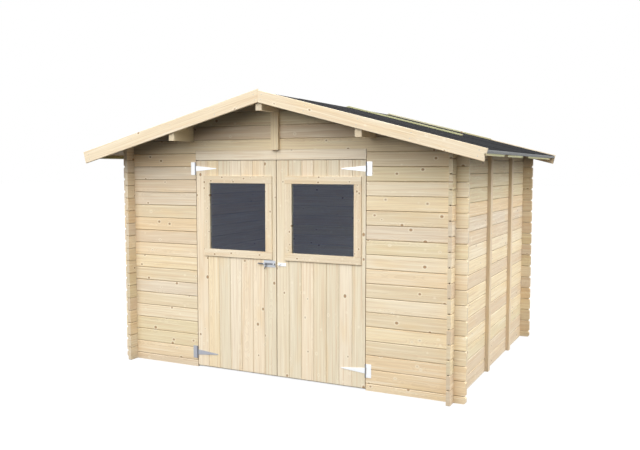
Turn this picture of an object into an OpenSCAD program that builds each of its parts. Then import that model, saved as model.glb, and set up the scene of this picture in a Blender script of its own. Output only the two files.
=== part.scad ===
// Garden shed of notched wall boards, with a low gable roof and a pair of glazed doors.
// The front faces -Y, +Z is up, and the shed stands on the bottom edges of its walls.

/* [Walls] */
// Width over the outer faces of the side walls
body_w = 2826; // [2700:2:2950]
// Depth over the outer faces of the front and back walls
body_d = 2337; // [2250:1:2450]
// Thickness of a wall board
board_t = 28; // [26:1:32]
// Height that each wall board adds
course_h = 106.3; // [104:0.1:109]
// Boards in the height of a side wall
side_courses = 17; // [16:1:18]
// Length of the crossed board ends beyond the corner
log_end = 88; // [75:1:100]
// Chamfer on the crossed ends of the front and back boards
end_chamfer = 12; // [8:1:16]
// Chamfer on the crossed ends of the side boards
side_chamfer = 4; // [3:1:8]
// Set-back of the tongue from a crossed board end
tongue_back = 24; // [18:1:30]
// Chamfer along each board edge, two of which make a V joint
edge_v = 4.5; // [3:0.5:5]
// Width of the tongue on top of a board
tongue_w = 9; // [8:0.5:10]
// Height of the tongue on top of a board
tongue_h = 8; // [6:0.5:9]
// Free room around a tongue in its groove
tongue_gap = 0.6; // [0.4:0.1:0.8]
// Hairline between two stacked boards
course_gap = 0.8; // [0.3:0.1:0.8]
// Free room around a corner notch
notch_gap = 0.4; // [0.3:0.1:0.6]

/* [Roof] */
// Slope of the roof in degrees
slope = 14.7; // [13.5:0.1:16]
// Reach of the roof beyond the side wall
eave_reach = 277; // [240:1:320]
// Reach of the roof in front of the front wall
front_reach = 274; // [240:1:320]
// Reach of the roof behind the back wall
back_reach = 112; // [110:1:160]
// Thickness of the roof boards
deck_t = 16; // [14:1:19]
// Thickness of the roofing felt
felt_t = 3; // [2:0.5:4]
// Height of the felt band turned down over the eave
felt_band = 26; // [22:1:30]
// Thickness of a bargeboard
barge_t = 18; // [16:1:22]
// Height of a bargeboard
barge_h = 86; // [80:1:100]
// Extra height of the left front bargeboard at its top edge
barge_extra = 9; // [0:1:12]
// Rise of a bargeboard above the felt
barge_rise = 6; // [3:1:10]
// Share of the right front bargeboard's height that keeps its full length
nose_share = 0.4; // [0.3:0.05:0.6]
// Hairline between the layers of the roof
roof_gap = 0.1; // [0.1:0.05:0.3]
// Room between the felt and the lower end of a bargeboard
felt_inset = 4; // [3:0.5:6]
// Width of a purlin
purlin_w = 50; // [44:1:60]
// Height of a purlin under the roof boards
purlin_h = 120; // [110:1:126]
// Distance of a side purlin from the ridge
purlin_x = 793; // [770:1:815]
// Width of a felt batten
batten_w = 36; // [30:1:50]
// Thickness of a felt batten
batten_t = 12; // [6:1:24]
// Length of a felt batten down the slope
batten_run = 1100; // [900:10:1200]
// Share of the depth at which the middle felt batten lies
batten_share = 0.586; // [0.5:0.002:0.65]
// Height of an eave batten
eave_batten_h = 23; // [20:1:30]
// Thickness of an eave batten
eave_batten_t = 20; // [16:1:24]
// Free length between the first and the second eave batten
eave_gap_1 = 112; // [60:2:150]
// Free length between the second and the third eave batten
eave_gap_2 = 224; // [150:2:260]
// Share of the roof's depth at which the first eave batten ends
first_eave_share = 0.205; // [0.18:0.005:0.23]
// Share of the roof's depth at which the second eave batten ends
second_eave_share = 0.447; // [0.42:0.001:0.48]
// Share of the roof's depth at which the third eave batten ends
third_eave_share = 0.915; // [0.88:0.005:0.95]

/* [Doorway] */
// Width of the doorway
door_w = 1500; // [1450:2:1540]
// Height of the board over the doorway
lintel_h = 75; // [70:1:80]
// Joint between the halves of the board over the doorway
lintel_gap = 1; // [0.5:0.5:2]
// Joint at the right end of the board over the doorway
lintel_end_gap = 4; // [1:0.5:6]
// Width of a post inside the doorway
post_w = 60; // [55:1:70]
// Thickness of the posts and the rail inside the doorway
post_t = 28; // [24:1:35]
// Reach of the posts and the rail into the doorway as a door stop
stop_reach = 18; // [15:1:22]
// Width of the cover post on the front gable
gable_post_w = 62; // [56:1:70]
// Width of a storm batten on the side walls
storm_w = 60; // [50:1:70]
// Thickness of a storm batten on the side walls
storm_t = 28; // [22:1:32]
// Share of the depth at which the first storm batten stands
first_storm_share = 0.383; // [0.35:0.001:0.42]
// Share of the depth at which the second storm batten stands
second_storm_share = 0.714; // [0.68:0.001:0.75]

/* [Doors] */
// Thickness of the door boards
leaf_t = 20; // [18:1:21]
// Boards in a door leaf
leaf_boards = 7; // [6:1:8]
// Chamfer along each edge of a door board
leaf_v = 4; // [2:0.5:5]
// Bevel along the foot of a door leaf
leaf_bevel = 8; // [5:1:12]
// Free room around a door leaf in the doorway
leaf_gap = 5; // [5:0.5:7]
// Free room between the two door leaves
meeting_gap = 6; // [5:0.5:8]
// Free room under a door leaf
floor_gap = 8; // [6:1:12]
// Width of a ledge on the inside of a door
ledge_w = 95; // [85:1:105]
// Width of the ledge above a window
top_ledge_w = 60; // [50:1:65]
// Thickness of a ledge on the inside of a door
ledge_t = 19; // [16:1:22]
// Room beside a ledge at the door's edge and the door stop
ledge_inset = 12; // [10:1:16]
// Room between a window and the ledge above it
ledge_gap = 8; // [6:1:10]
// Door width on each side of a window's clear width
pane_side = 113; // [108:1:125]
// Clear height of a window
pane_h = 530; // [500:1:540]
// Width of the window frame members
frame_w = 59; // [52:1:62]
// Thickness of the window frame outside the door
frame_t = 10; // [8:1:14]
// Cover of the frame over the edge of the glass
pane_lap = 9; // [7:0.5:12]
// Free room around the edge of the glass
pane_room = 1; // [0.5:0.5:2]
// Thickness of the glass
glass_t = 4; // [3:0.5:5]
// Sideways place of each window from the middle of its door
pane_shift = 21; // [16:1:24]
// Drop from the top of the doorway to the middle of the windows
pane_drop = 449; // [440:1:470]

/* [Ironwork] */
// Length of a hinge strap from its pin
strap_len = 200; // [170:2:230]
// Width of a hinge strap at its pin
strap_w = 43; // [38:1:46]
// Width of a hinge strap at its tip
strap_tip_w = 6; // [4:1:10]
// Width of a hinge plate on the wall
plate_w = 44; // [38:1:50]
// Height of a hinge plate on the wall
plate_h = 102; // [98:1:116]
// Thickness of the hinge iron
iron_t = 3; // [2.5:0.5:3.5]
// Radius of a hinge pin
pin_r = 2.6; // [2.2:0.1:2.8]
// Outer radius of a hinge knuckle
knuckle_r = 5; // [4.8:0.1:5.6]
// Room between the hinge knuckles and the wall
knuckle_gap = 0.3; // [0.2:0.1:0.5]
// Room between the strap's knuckle and the plate's knuckles
knuckle_play = 1; // [0.5:0.5:2]
// Free room around a hinge pin
pin_gap = 0.08; // [0.05:0.01:0.1]
// Drop from the top of the doorway to the upper hinges
hinge_drop = 68; // [66:1:90]
// Height of the lower left hinge
left_hinge_z = 122; // [110:1:140]
// Height of the lower right hinge
right_hinge_z = 148; // [130:1:160]
// Room between a hinge knuckle and the middle part of its plate
plate_play = 2; // [1:0.5:3]
// Radius of the bolt rod
rod_r = 5; // [4:0.5:5.5]
// Free room around the bolt rod in its sleeves
rod_gap = 0.4; // [0.3:0.1:0.6]
// Travel of the bolt rod
bolt_travel = 52; // [48:1:53]
// Drop from the window frame to the bolt
bolt_drop = 33; // [28:1:60]
// Wall of a sleeve around the bolt rod
sleeve_wall = 3.5; // [3:0.5:4]
// Length of a sleeve around the bolt rod
sleeve_len = 12; // [11:1:13]
// Height of the bolt rod above its back plate
rod_stand = 3; // [2.5:0.5:4]
// Length of the back plate under the bolt
guide_len = 102; // [102:1:110]
// Height of the back plate under the bolt
guide_plate_h = 52; // [30:1:54]
// Length of the keeper's plate on the other door
keeper_len = 68; // [60:1:75]
// Margin of the keeper's plate above and below its sleeve
plate_edge = 4; // [3:1:8]
// Radius of the bolt's handle
handle_r = 3; // [2.5:0.5:3]
// Length of the bolt's handle
handle_len = 46; // [36:1:48]
// Lean of the bolt's handle in degrees
handle_lean = 24; // [20:1:32]
// Room between the drawn-back handle and its sleeve
handle_room = 14; // [13:1:15]

/* [Hidden] */
$fn = 48;

half_w = body_w / 2;
wall_run = body_w + 2 * log_end;
side_run = body_d + 2 * log_end;
wall_top = side_courses * course_h;
doorway_h = (side_courses - 1) * course_h;
quarter = course_h / 4;
over = 1;

// Roof lines: u runs down the slope from the ridge, v stands square off the underside of the roof boards
ridge_z = wall_top + half_w * tan(slope);
barge_top = deck_t + felt_t + barge_rise;
roof_half = half_w + eave_reach;
barge_u = (roof_half - barge_top * sin(slope)) / cos(slope);
deck_u = barge_u - felt_t - felt_inset;
roof_front = -front_reach + barge_t;
roof_back = body_d + back_reach - barge_t;
function roof_z(x) = wall_top + (half_w - abs(x)) * tan(slope);
function on_slope(u, v) = [u * cos(slope) + v * sin(slope), ridge_z - u * sin(slope) + v * cos(slope)];
function on_ridge(v) = [0, ridge_z + v / cos(slope)];

// The finished shed is centred on its roof plan
mid_y = (body_d + back_reach - front_reach) / 2;

// Door lines
leaf_w = (door_w - 2 * leaf_gap - meeting_gap) / 2;
leaf_mid = (meeting_gap + leaf_w) / 2;
leaf_h = doorway_h - leaf_gap - floor_gap;
pane_w = leaf_w - 2 * pane_side;
pane_z = doorway_h - pane_drop;
hinge_top_z = doorway_h - hinge_drop;
bolt_z = pane_z - pane_h / 2 - frame_w - bolt_drop;
pin_x = door_w / 2;
pin_y = -knuckle_r - knuckle_gap;
root_share = 0.6;

// Bolt lines, measured from the middle of the doorway
guide_r = rod_r + sleeve_wall;
rod_y = -iron_t - rod_r - rod_stand;
plate_room = 10;
sleeve_room = 2;
guide_x = -plate_room - guide_len;
sleeve_1 = guide_x + sleeve_room;
sleeve_2 = -plate_room - sleeve_room - sleeve_len;
keeper_x = 16;
keeper_sleeve = 22;
keeper_plate_h = 2 * (guide_r + plate_edge);
handle_x = sleeve_1 + sleeve_len + handle_room;
rod_x = sleeve_1 - bolt_travel;

spruce = [0.88, 0.78, 0.6];
spruce_light = [0.94, 0.84, 0.68];
treated = [0.78, 0.8, 0.58];
slate = [0.22, 0.23, 0.26];
zinc = [0.8, 0.81, 0.82];
pane = [0.3, 0.33, 0.36];

module centred() {
    translate([0, -mid_y, 0])
        children();
}

// A flat shape drawn in x and z, carried from y0 to y1
module across(y0, y1) {
    translate([0, y1, 0])
        rotate([90, 0, 0])
            linear_extrude(height = y1 - y0)
                children();
}

// All room under the roof boards
module under_roof() {
    across(-front_reach, body_d + back_reach)
        polygon([[-roof_half, -over], [roof_half, -over], [roof_half, roof_z(roof_half)],
                 [0, ridge_z], [-roof_half, roof_z(roof_half)]]);
}

// Section of a wall board: V edges, a tongue on top and a groove underneath
module board_section(h, groove, tongue) {
    mid = board_t / 2;
    tw = tongue_w / 2;
    gw = tw + tongue_gap;
    gd = tongue_h + tongue_gap;
    low = groove ? [[mid - gw, 0], [mid - gw, gd], [mid + gw, gd], [mid + gw, 0]] : [];
    top = tongue ? [[mid + tw, h], [mid + tw, h + tongue_h], [mid - tw, h + tongue_h], [mid - tw, h]] : [];
    foot = groove ? edge_v : 0;
    polygon(concat([[foot, 0]], low, [[board_t - foot, 0], [board_t, foot], [board_t, h - edge_v],
            [board_t - edge_v, h]], top, [[edge_v, h], [0, h - edge_v], [0, foot]]));
}

// Side view of a wall board: a crossed end is chamfered and shows its open groove, any other end is square
module board_side(run, h, c0, c1) {
    b0 = c0 > 0 ? tongue_back : 0;
    b1 = c1 > 0 ? tongue_back : 0;
    polygon([[c0, 0], [run - c1, 0], [run, c1], [run, h - c1], [run - c1, h], [run - b1, h],
             [run - b1, h + tongue_h], [b0, h + tongue_h], [b0, h], [c0, h], [0, h - c0], [0, c0]]);
}

// One wall board along +X with its outer face on y = 0, notched over the boards that it crosses
module wall_board(run, h, c0, c1, crossings, keep_low, keep_high, groove = true, tongue = true) {
    difference() {
        intersection() {
            rotate([90, 0, 90])
                linear_extrude(height = run)
                    board_section(h, groove, tongue);
            across(0, board_t)
                board_side(run, h, c0, c1);
        }
        for (x = crossings) {
            if (keep_low > 0)
                translate([x - notch_gap, -over, -over])
                    cube([board_t + 2 * notch_gap, board_t + 2 * over, keep_low + over]);
            if (keep_high < h)
                translate([x - notch_gap, -over, keep_high])
                    cube([board_t + 2 * notch_gap, board_t + 2 * over, h - keep_high + tongue_h + over]);
        }
    }
}

// A side wall stands on a full board, and its top board is bevelled to the roof
module side_wall() {
    crossings = [log_end, log_end + body_d - board_t];
    for (n = [0 : side_courses - 2])
        translate([half_w, -log_end, n * course_h])
            rotate([0, 0, 90])
                wall_board(side_run, course_h - course_gap, side_chamfer, side_chamfer, crossings,
                           quarter, 3 * quarter - notch_gap, n > 0, true);
    intersection() {
        translate([half_w, -log_end, wall_top - course_h])
            rotate([0, 0, 90])
                wall_board(side_run, course_h + board_t, side_chamfer, 0, crossings,
                           quarter, 3 * quarter - notch_gap, true, false);
        under_roof();
    }
}

// Front and back walls start with a half board, so their joints lie half a board from those of the sides
module cross_boards(run, c0, c1, crossings) {
    wall_board(run, course_h / 2 - course_gap, c0, c1, crossings, 0, quarter - notch_gap, false, true);
    for (m = [1 : side_courses - 1])
        translate([0, 0, (m - 0.5) * course_h])
            wall_board(run, course_h - course_gap, c0, c1, crossings, quarter, 3 * quarter - notch_gap);
}

// Gable boards are cut to the roof slope and around the purlins
module gable_boards() {
    crossings = [log_end, log_end + body_w - board_t];
    rows = ceil((ridge_z - wall_top) / course_h + 0.5);
    difference() {
        intersection() {
            translate([-wall_run / 2, 0, 0])
                for (m = [0 : rows - 1])
                    translate([0, 0, (side_courses + m - 0.5) * course_h])
                        wall_board(wall_run, course_h - course_gap, m == 0 ? end_chamfer : 0,
                                   m == 0 ? end_chamfer : 0, m == 0 ? crossings : [], quarter, course_h);
            under_roof();
        }
        purlins(course_gap);
    }
}

module purlin_outline(x, gap) {
    w = purlin_w / 2 + gap;
    low = roof_z(x) - purlin_h - gap;
    if (x == 0)
        polygon([[-w, low], [w, low], [w, roof_z(w) + gap], [0, ridge_z + gap], [-w, roof_z(w) + gap]]);
    else
        polygon([[x - w, low], [x + w, low], [x + w, roof_z(x + w) + gap], [x - w, roof_z(x - w) + gap]]);
}

module purlin(x, gap = 0) {
    across(roof_front - gap, roof_back + gap)
        purlin_outline(x, gap);
}

module purlins(gap) {
    purlin(0, gap);
    purlin(purlin_x, gap);
    mirror([1, 0, 0])
        purlin(purlin_x, gap);
}

// A sheet on the right slope, mitred at the ridge
module slope_sheet(v0, v1, u, y0, y1) {
    across(y0, y1)
        polygon([on_ridge(v0), on_slope(u, v0), on_slope(u, v1), on_ridge(v1)]);
}

module felt() {
    low = deck_t + felt_t - felt_band;
    inside = deck_t + roof_gap;
    edge = deck_u + roof_gap;
    across(roof_front, roof_back)
        polygon([on_ridge(inside), on_slope(edge, inside), on_slope(edge, low),
                 on_slope(deck_u + felt_t, low), on_slope(deck_u + felt_t, deck_t + felt_t),
                 on_ridge(deck_t + felt_t)]);
}

module bargeboard(y0, extra = 0) {
    slope_sheet(barge_top - barge_h, barge_top + extra, barge_u, y0, y0 + barge_t);
}

// The right front bargeboard, with a plumb cut under the nose of its lower end
module cut_bargeboard(y0) {
    low = barge_top - barge_h;
    toe = on_slope(barge_u, low);
    nose = on_slope(barge_u, barge_top - nose_share * barge_h);
    across(y0, y0 + barge_t)
        polygon([on_ridge(low), toe, [toe[0], nose[1]], nose, on_slope(barge_u, barge_top),
                 on_ridge(barge_top)]);
}

module felt_battens() {
    v0 = deck_t + felt_t + roof_gap;
    middle = body_d * batten_share;
    for (y = [middle - batten_w / 2, roof_back - batten_w])
        slope_sheet(v0, v0 + batten_t, batten_run, y, y + batten_w);
}

// Three lengths of batten under the eave, at shares of the roof's depth
module eave_battens() {
    depth = roof_back - roof_front;
    cuts = [0, first_eave_share, second_eave_share, third_eave_share];
    gaps = [0, eave_gap_1, eave_gap_2];
    for (i = [0 : 2]) {
        y0 = roof_front + depth * cuts[i] + gaps[i];
        y1 = roof_front + depth * cuts[i + 1];
        across(y0, y1)
            polygon([on_slope(deck_u - eave_batten_t, 0), on_slope(deck_u - eave_batten_t, -eave_batten_h),
                     on_slope(deck_u, -eave_batten_h), on_slope(deck_u, 0)]);
    }
}

module storm_battens() {
    intersection() {
        for (share = [first_storm_share, second_storm_share])
            translate([half_w, share * body_d, 0])
                cube([storm_t, storm_w, wall_top + over]);
        under_roof();
    }
}

module door_post() {
    translate([door_w / 2 - stop_reach, board_t, 0])
        cube([post_w, post_t, doorway_h + lintel_h]);
}

// Plan of a door leaf: boards side by side with a V joint between them on both faces
module leaf_plan() {
    w = leaf_w / leaf_boards;
    front = [for (i = [1 : leaf_boards - 1], d = [-1, 0, 1]) [i * w + d * leaf_v, d == 0 ? leaf_v : 0]];
    back = [for (i = [leaf_boards - 1 : -1 : 1], d = [1, 0, -1])
            [i * w + d * leaf_v, d == 0 ? leaf_t - leaf_v : leaf_t]];
    polygon(concat([[0, 0]], front, [[leaf_w, 0], [leaf_w, leaf_t]], back, [[0, leaf_t]]));
}

// The right leaf, pierced by its window and bevelled along its foot
module door_leaf(pane_mid) {
    difference() {
        translate([meeting_gap / 2, 0, floor_gap])
            linear_extrude(height = leaf_h)
                leaf_plan();
        translate([pane_mid - pane_w / 2 - pane_lap, -over, pane_z - pane_h / 2 - pane_lap])
            cube([pane_w + 2 * pane_lap, leaf_t + 2 * over, pane_h + 2 * pane_lap]);
        translate([0, 0, floor_gap])
            rotate([90, 0, 90])
                linear_extrude(height = door_w)
                    polygon([[-over, -over], [leaf_bevel + over, -over], [-over, leaf_bevel + over]]);
    }
}

// Ledges tie the door boards together inside, clear of the door stops
module door_ledges(low_z) {
    run = leaf_w - stop_reach - 2 * ledge_inset;
    lows = [low_z - ledge_w / 2, pane_z - pane_h / 2 - frame_w - ledge_w,
            pane_z + pane_h / 2 + pane_lap + ledge_gap];
    for (i = [0 : 2])
        translate([meeting_gap / 2 + ledge_inset, leaf_t, lows[i]])
            cube([run, ledge_t, i == 2 ? top_ledge_w : ledge_w]);
}

// A frame outside the door and a bead inside it hold the glass between them
module window_frame(pane_mid) {
    translate([pane_mid, 0, pane_z]) {
        across(-frame_t, 0)
            difference() {
                square([pane_w + 2 * frame_w, pane_h + 2 * frame_w], center = true);
                square([pane_w, pane_h], center = true);
            }
        across(glass_t, leaf_t)
            difference() {
                square([pane_w + 2 * pane_lap, pane_h + 2 * pane_lap], center = true);
                square([pane_w, pane_h], center = true);
            }
    }
}

module window_glass(pane_mid) {
    edge = pane_lap - pane_room;
    translate([pane_mid, 0, pane_z])
        across(0, glass_t)
            square([pane_w + 2 * edge, pane_h + 2 * edge], center = true);
}

// A tee hinge on the right: the plate carries the pin between its two knuckles
module hinge_plate() {
    reach = (plate_h - strap_w) / 2 - knuckle_play;
    ends = [-plate_h / 2, plate_h / 2 - reach];
    inner = knuckle_r + plate_play;
    translate([pin_x, 0, 0]) {
        translate([inner, -iron_t, -plate_h / 2])
            cube([plate_w - inner, iron_t, plate_h]);
        for (z = ends) {
            translate([0, -iron_t, z])
                cube([inner + over, iron_t, reach]);
            translate([0, pin_y, z])
                cylinder(r = knuckle_r, h = reach);
        }
        translate([0, pin_y, -plate_h / 2])
            cylinder(r = pin_r, h = plate_h);
    }
}

module hinge_strap() {
    root = knuckle_r * root_share;
    tip_x = strap_tip_w / 2 - strap_len;
    translate([pin_x, 0, 0])
        difference() {
            union() {
                across(-iron_t, 0)
                    polygon([[-root, -strap_w / 2], [-root, strap_w / 2], [tip_x, strap_tip_w / 2],
                             [-strap_len, 0], [tip_x, -strap_tip_w / 2]]);
                translate([0, pin_y, -strap_w / 2])
                    cylinder(r = knuckle_r, h = strap_w);
            }
            translate([0, pin_y, -strap_w])
                cylinder(r = pin_r + pin_gap, h = 2 * strap_w);
        }
}

module at_hinges(low_z) {
    for (z = [low_z, hinge_top_z])
        translate([0, 0, z])
            children();
}

// A sleeve for the bolt rod on a foot that stands on its back plate
module rod_sleeve(x) {
    difference() {
        union() {
            translate([x, rod_y, 0])
                rotate([0, 90, 0])
                    cylinder(r = guide_r, h = sleeve_len);
            translate([x, rod_y, -guide_r])
                cube([sleeve_len, -rod_y - iron_t + over, 2 * guide_r]);
        }
        translate([x - over, rod_y, 0])
            rotate([0, 90, 0])
                cylinder(r = rod_r + rod_gap, h = sleeve_len + 2 * over);
    }
}

module left_wall() {
    color(spruce)
        centred()
            mirror([1, 0, 0])
                side_wall();
}

module right_wall() {
    color(spruce)
        centred()
            side_wall();
}

module front_wall_left() {
    color(spruce)
        centred()
            translate([-wall_run / 2, 0, 0])
                cross_boards((wall_run - door_w) / 2, end_chamfer, 0, [log_end]);
}

module front_wall_right() {
    color(spruce)
        centred()
            mirror([1, 0, 0])
                translate([-wall_run / 2, 0, 0])
                    cross_boards((wall_run - door_w) / 2, end_chamfer, 0, [log_end]);
}

module front_gable() {
    color(spruce)
        centred()
            difference() {
                gable_boards();
                translate([-door_w / 2, -over, 0])
                    cube([door_w, board_t + 2 * over, doorway_h + lintel_h + course_gap]);
            }
}

module back_wall() {
    color(spruce)
        centred()
            translate([-wall_run / 2, body_d - board_t, 0])
                cross_boards(wall_run, end_chamfer, end_chamfer, [log_end, log_end + body_w - board_t]);
}

module back_gable() {
    color(spruce)
        centred()
            translate([0, body_d - board_t, 0])
                gable_boards();
}

module door_lintel() {
    ends = [[-door_w / 2 + course_gap, 0], [lintel_gap, door_w / 2 - lintel_end_gap]];
    color(spruce_light)
        centred()
            for (end = ends)
                translate([end[0], 0, doorway_h])
                    cube([end[1] - end[0], board_t, lintel_h]);
}

module left_door_post() {
    color(spruce)
        centred()
            mirror([1, 0, 0])
                door_post();
}

module right_door_post() {
    color(spruce)
        centred()
            door_post();
}

module door_head_rail() {
    w = door_w - 2 * stop_reach;
    color(spruce)
        centred()
            translate([-w / 2, board_t, doorway_h - stop_reach])
                cube([w, post_t, lintel_h + stop_reach]);
}

module gable_post() {
    low = doorway_h + lintel_h;
    color(spruce_light)
        centred()
            translate([-gable_post_w / 2, -board_t, low])
                cube([gable_post_w, board_t, ridge_z - purlin_h - low - course_gap]);
}

module left_storm_battens() {
    color(spruce)
        centred()
            mirror([1, 0, 0])
                storm_battens();
}

module right_storm_battens() {
    color(spruce)
        centred()
            storm_battens();
}

module ridge_purlin() {
    color(spruce)
        centred()
            purlin(0);
}

module left_purlin() {
    color(spruce)
        centred()
            mirror([1, 0, 0])
                purlin(purlin_x);
}

module right_purlin() {
    color(spruce)
        centred()
            purlin(purlin_x);
}

module left_roof_deck() {
    color(spruce)
        centred()
            mirror([1, 0, 0])
                slope_sheet(roof_gap, deck_t, deck_u, roof_front, roof_back);
}

module right_roof_deck() {
    color(spruce)
        centred()
            slope_sheet(roof_gap, deck_t, deck_u, roof_front, roof_back);
}

module left_roof_felt() {
    color(slate)
        centred()
            mirror([1, 0, 0])
                felt();
}

module right_roof_felt() {
    color(slate)
        centred()
            felt();
}

module front_left_bargeboard() {
    color(spruce_light)
        centred()
            mirror([1, 0, 0])
                bargeboard(-front_reach, barge_extra);
}

module front_right_bargeboard() {
    color(spruce_light)
        centred()
            cut_bargeboard(-front_reach);
}

module back_left_bargeboard() {
    color(spruce_light)
        centred()
            mirror([1, 0, 0])
                bargeboard(roof_back);
}

module back_right_bargeboard() {
    color(spruce_light)
        centred()
            bargeboard(roof_back);
}

module left_felt_battens() {
    color(treated)
        centred()
            mirror([1, 0, 0])
                felt_battens();
}

module right_felt_battens() {
    color(treated)
        centred()
            felt_battens();
}

module left_eave_battens() {
    color(treated)
        centred()
            mirror([1, 0, 0])
                eave_battens();
}

module right_eave_battens() {
    color(treated)
        centred()
            eave_battens();
}

module left_hinge_plates() {
    color(zinc)
        centred()
            at_hinges(left_hinge_z)
                rotate([0, 180, 0])
                    hinge_plate();
}

module right_hinge_plates() {
    color(zinc)
        centred()
            at_hinges(right_hinge_z)
                hinge_plate();
}

module left_door_leaf() {
    color(spruce_light)
        centred()
            mirror([1, 0, 0])
                door_leaf(leaf_mid - pane_shift);
}

module left_door_ledges() {
    color(spruce)
        centred()
            mirror([1, 0, 0])
                door_ledges(left_hinge_z);
}

module left_window_frame() {
    color(spruce_light)
        centred()
            mirror([1, 0, 0])
                window_frame(leaf_mid - pane_shift);
}

module left_window_glass() {
    color(pane)
        centred()
            mirror([1, 0, 0])
                window_glass(leaf_mid - pane_shift);
}

module left_hinge_straps() {
    color(zinc)
        centred()
            at_hinges(left_hinge_z)
                rotate([0, 180, 0])
                    hinge_strap();
}

module bolt_guide() {
    color(zinc)
        centred()
            translate([0, 0, bolt_z]) {
                translate([guide_x, -iron_t, -guide_plate_h / 2])
                    cube([guide_len, iron_t, guide_plate_h]);
                rod_sleeve(sleeve_1);
                rod_sleeve(sleeve_2);
            }
}

module right_door_leaf() {
    color(spruce_light)
        centred()
            door_leaf(leaf_mid + pane_shift);
}

module right_door_ledges() {
    color(spruce)
        centred()
            door_ledges(right_hinge_z);
}

module right_window_frame() {
    color(spruce_light)
        centred()
            window_frame(leaf_mid + pane_shift);
}

module right_window_glass() {
    color(pane)
        centred()
            window_glass(leaf_mid + pane_shift);
}

module right_hinge_straps() {
    color(zinc)
        centred()
            at_hinges(right_hinge_z)
                hinge_strap();
}

module bolt_keeper() {
    color(zinc)
        centred()
            translate([0, 0, bolt_z]) {
                translate([keeper_x, -iron_t, -keeper_plate_h / 2])
                    cube([keeper_len, iron_t, keeper_plate_h]);
                rod_sleeve(keeper_sleeve);
            }
}

// The rod is drawn back at rest, and its handle runs between the two sleeves
module bolt_rod() {
    color(zinc)
        centred()
            translate([0, rod_y, bolt_z]) {
                translate([rod_x, 0, 0])
                    rotate([0, 90, 0])
                        cylinder(r = rod_r, h = -plate_room - rod_x);
                translate([handle_x, 0, 0])
                    rotate([180, handle_lean, 0])
                        cylinder(r = handle_r, h = handle_len);
            }
}

left_wall();
right_wall();
front_wall_left();
front_wall_right();
front_gable();
back_wall();
back_gable();
door_lintel();
left_door_post();
right_door_post();
door_head_rail();
gable_post();
left_storm_battens();
right_storm_battens();
ridge_purlin();
left_purlin();
right_purlin();
left_roof_deck();
right_roof_deck();
left_roof_felt();
right_roof_felt();
front_left_bargeboard();
front_right_bargeboard();
back_left_bargeboard();
back_right_bargeboard();
left_felt_battens();
right_felt_battens();
left_eave_battens();
right_eave_battens();
left_hinge_plates();
right_hinge_plates();
left_door_leaf();
left_door_ledges();
left_window_frame();
left_window_glass();
left_hinge_straps();
bolt_guide();
right_door_leaf();
right_door_ledges();
right_window_frame();
right_window_glass();
right_hinge_straps();
bolt_keeper();
bolt_rod();
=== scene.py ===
import math

import bmesh
import bpy
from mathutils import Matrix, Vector


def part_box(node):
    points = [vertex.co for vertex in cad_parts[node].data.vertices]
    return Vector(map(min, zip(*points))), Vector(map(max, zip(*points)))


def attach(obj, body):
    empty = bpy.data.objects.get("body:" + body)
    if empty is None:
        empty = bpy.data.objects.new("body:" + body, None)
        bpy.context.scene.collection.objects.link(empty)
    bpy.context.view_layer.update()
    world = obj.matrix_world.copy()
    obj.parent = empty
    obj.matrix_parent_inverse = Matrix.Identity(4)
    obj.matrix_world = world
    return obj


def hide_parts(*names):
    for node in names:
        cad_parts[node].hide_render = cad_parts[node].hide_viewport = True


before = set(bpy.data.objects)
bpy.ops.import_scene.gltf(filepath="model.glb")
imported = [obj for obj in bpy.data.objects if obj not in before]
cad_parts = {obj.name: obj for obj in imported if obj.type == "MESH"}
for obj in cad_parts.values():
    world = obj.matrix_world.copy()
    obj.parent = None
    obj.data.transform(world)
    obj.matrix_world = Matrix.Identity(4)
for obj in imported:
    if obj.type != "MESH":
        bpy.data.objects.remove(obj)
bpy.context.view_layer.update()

# Studio: a pale floor under a dome whose light is strong high up and weak at the rim, with three large soft
# lamps that lift the front, the right side and the far corner. The camera stands to the right of the doors
# at eye height.
scene = bpy.context.scene
scene.view_settings.view_transform = "Standard"

IMAGE_WIDTH_PX = 640
FOCAL_PX = 737.1
SENSOR_MM = 36.0
EYE = (2.8144, -6.0179, 1.635)
TURN_DEG = 26.33
TIP_DOWN_DEG = 4.398

camera_data = bpy.data.cameras.new("camera")
camera_data.sensor_width = SENSOR_MM
camera_data.lens = FOCAL_PX / IMAGE_WIDTH_PX * SENSOR_MM
camera = bpy.data.objects.new("camera", camera_data)
camera.location = EYE
camera.rotation_euler = (math.radians(90 - TIP_DOWN_DEG), 0, math.radians(TURN_DEG))
scene.collection.objects.link(camera)
scene.camera = camera


def node(tree, kind, inputs=None, **settings):
    """Add a shader node, with its settings and with each input linked or given a value."""
    made = tree.nodes.new(kind)
    for key, value in settings.items():
        setattr(made, key, value)
    for key, value in (inputs or {}).items():
        if isinstance(value, bpy.types.NodeSocket):
            tree.links.new(value, made.inputs[key])
        else:
            made.inputs[key].default_value = value
    return made


def maths(tree, operation, *values):
    """One arithmetic step on sockets or numbers."""
    return node(tree, "ShaderNodeMath", dict(enumerate(values)), operation=operation).outputs[0]


def times(tree, value, factor):
    """A value multiplied by a factor."""
    return maths(tree, "MULTIPLY", value, factor)


def parts(tree, socket):
    """The x, y and z of a vector."""
    return node(tree, "ShaderNodeSeparateXYZ", {0: socket}).outputs


def smooth_step(tree, value, low, high, start=0.0, end=1.0):
    """A smooth change from a start to an end between two limits of a value."""
    made = node(tree, "ShaderNodeMapRange",
                {"Value": value, "From Min": low, "From Max": high, "To Min": start, "To Max": end},
                interpolation_type="SMOOTHSTEP")
    return made.outputs["Result"]


def seen_ray(tree):
    """1 for rays that reach the eye straight, by a reflection or through glass."""
    path = node(tree, "ShaderNodeLightPath").outputs
    straight_or_mirrored = maths(tree, "MAXIMUM", path["Is Camera Ray"], path["Is Glossy Ray"])
    return maths(tree, "MAXIMUM", straight_or_mirrored, path["Is Transmission Ray"])


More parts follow.
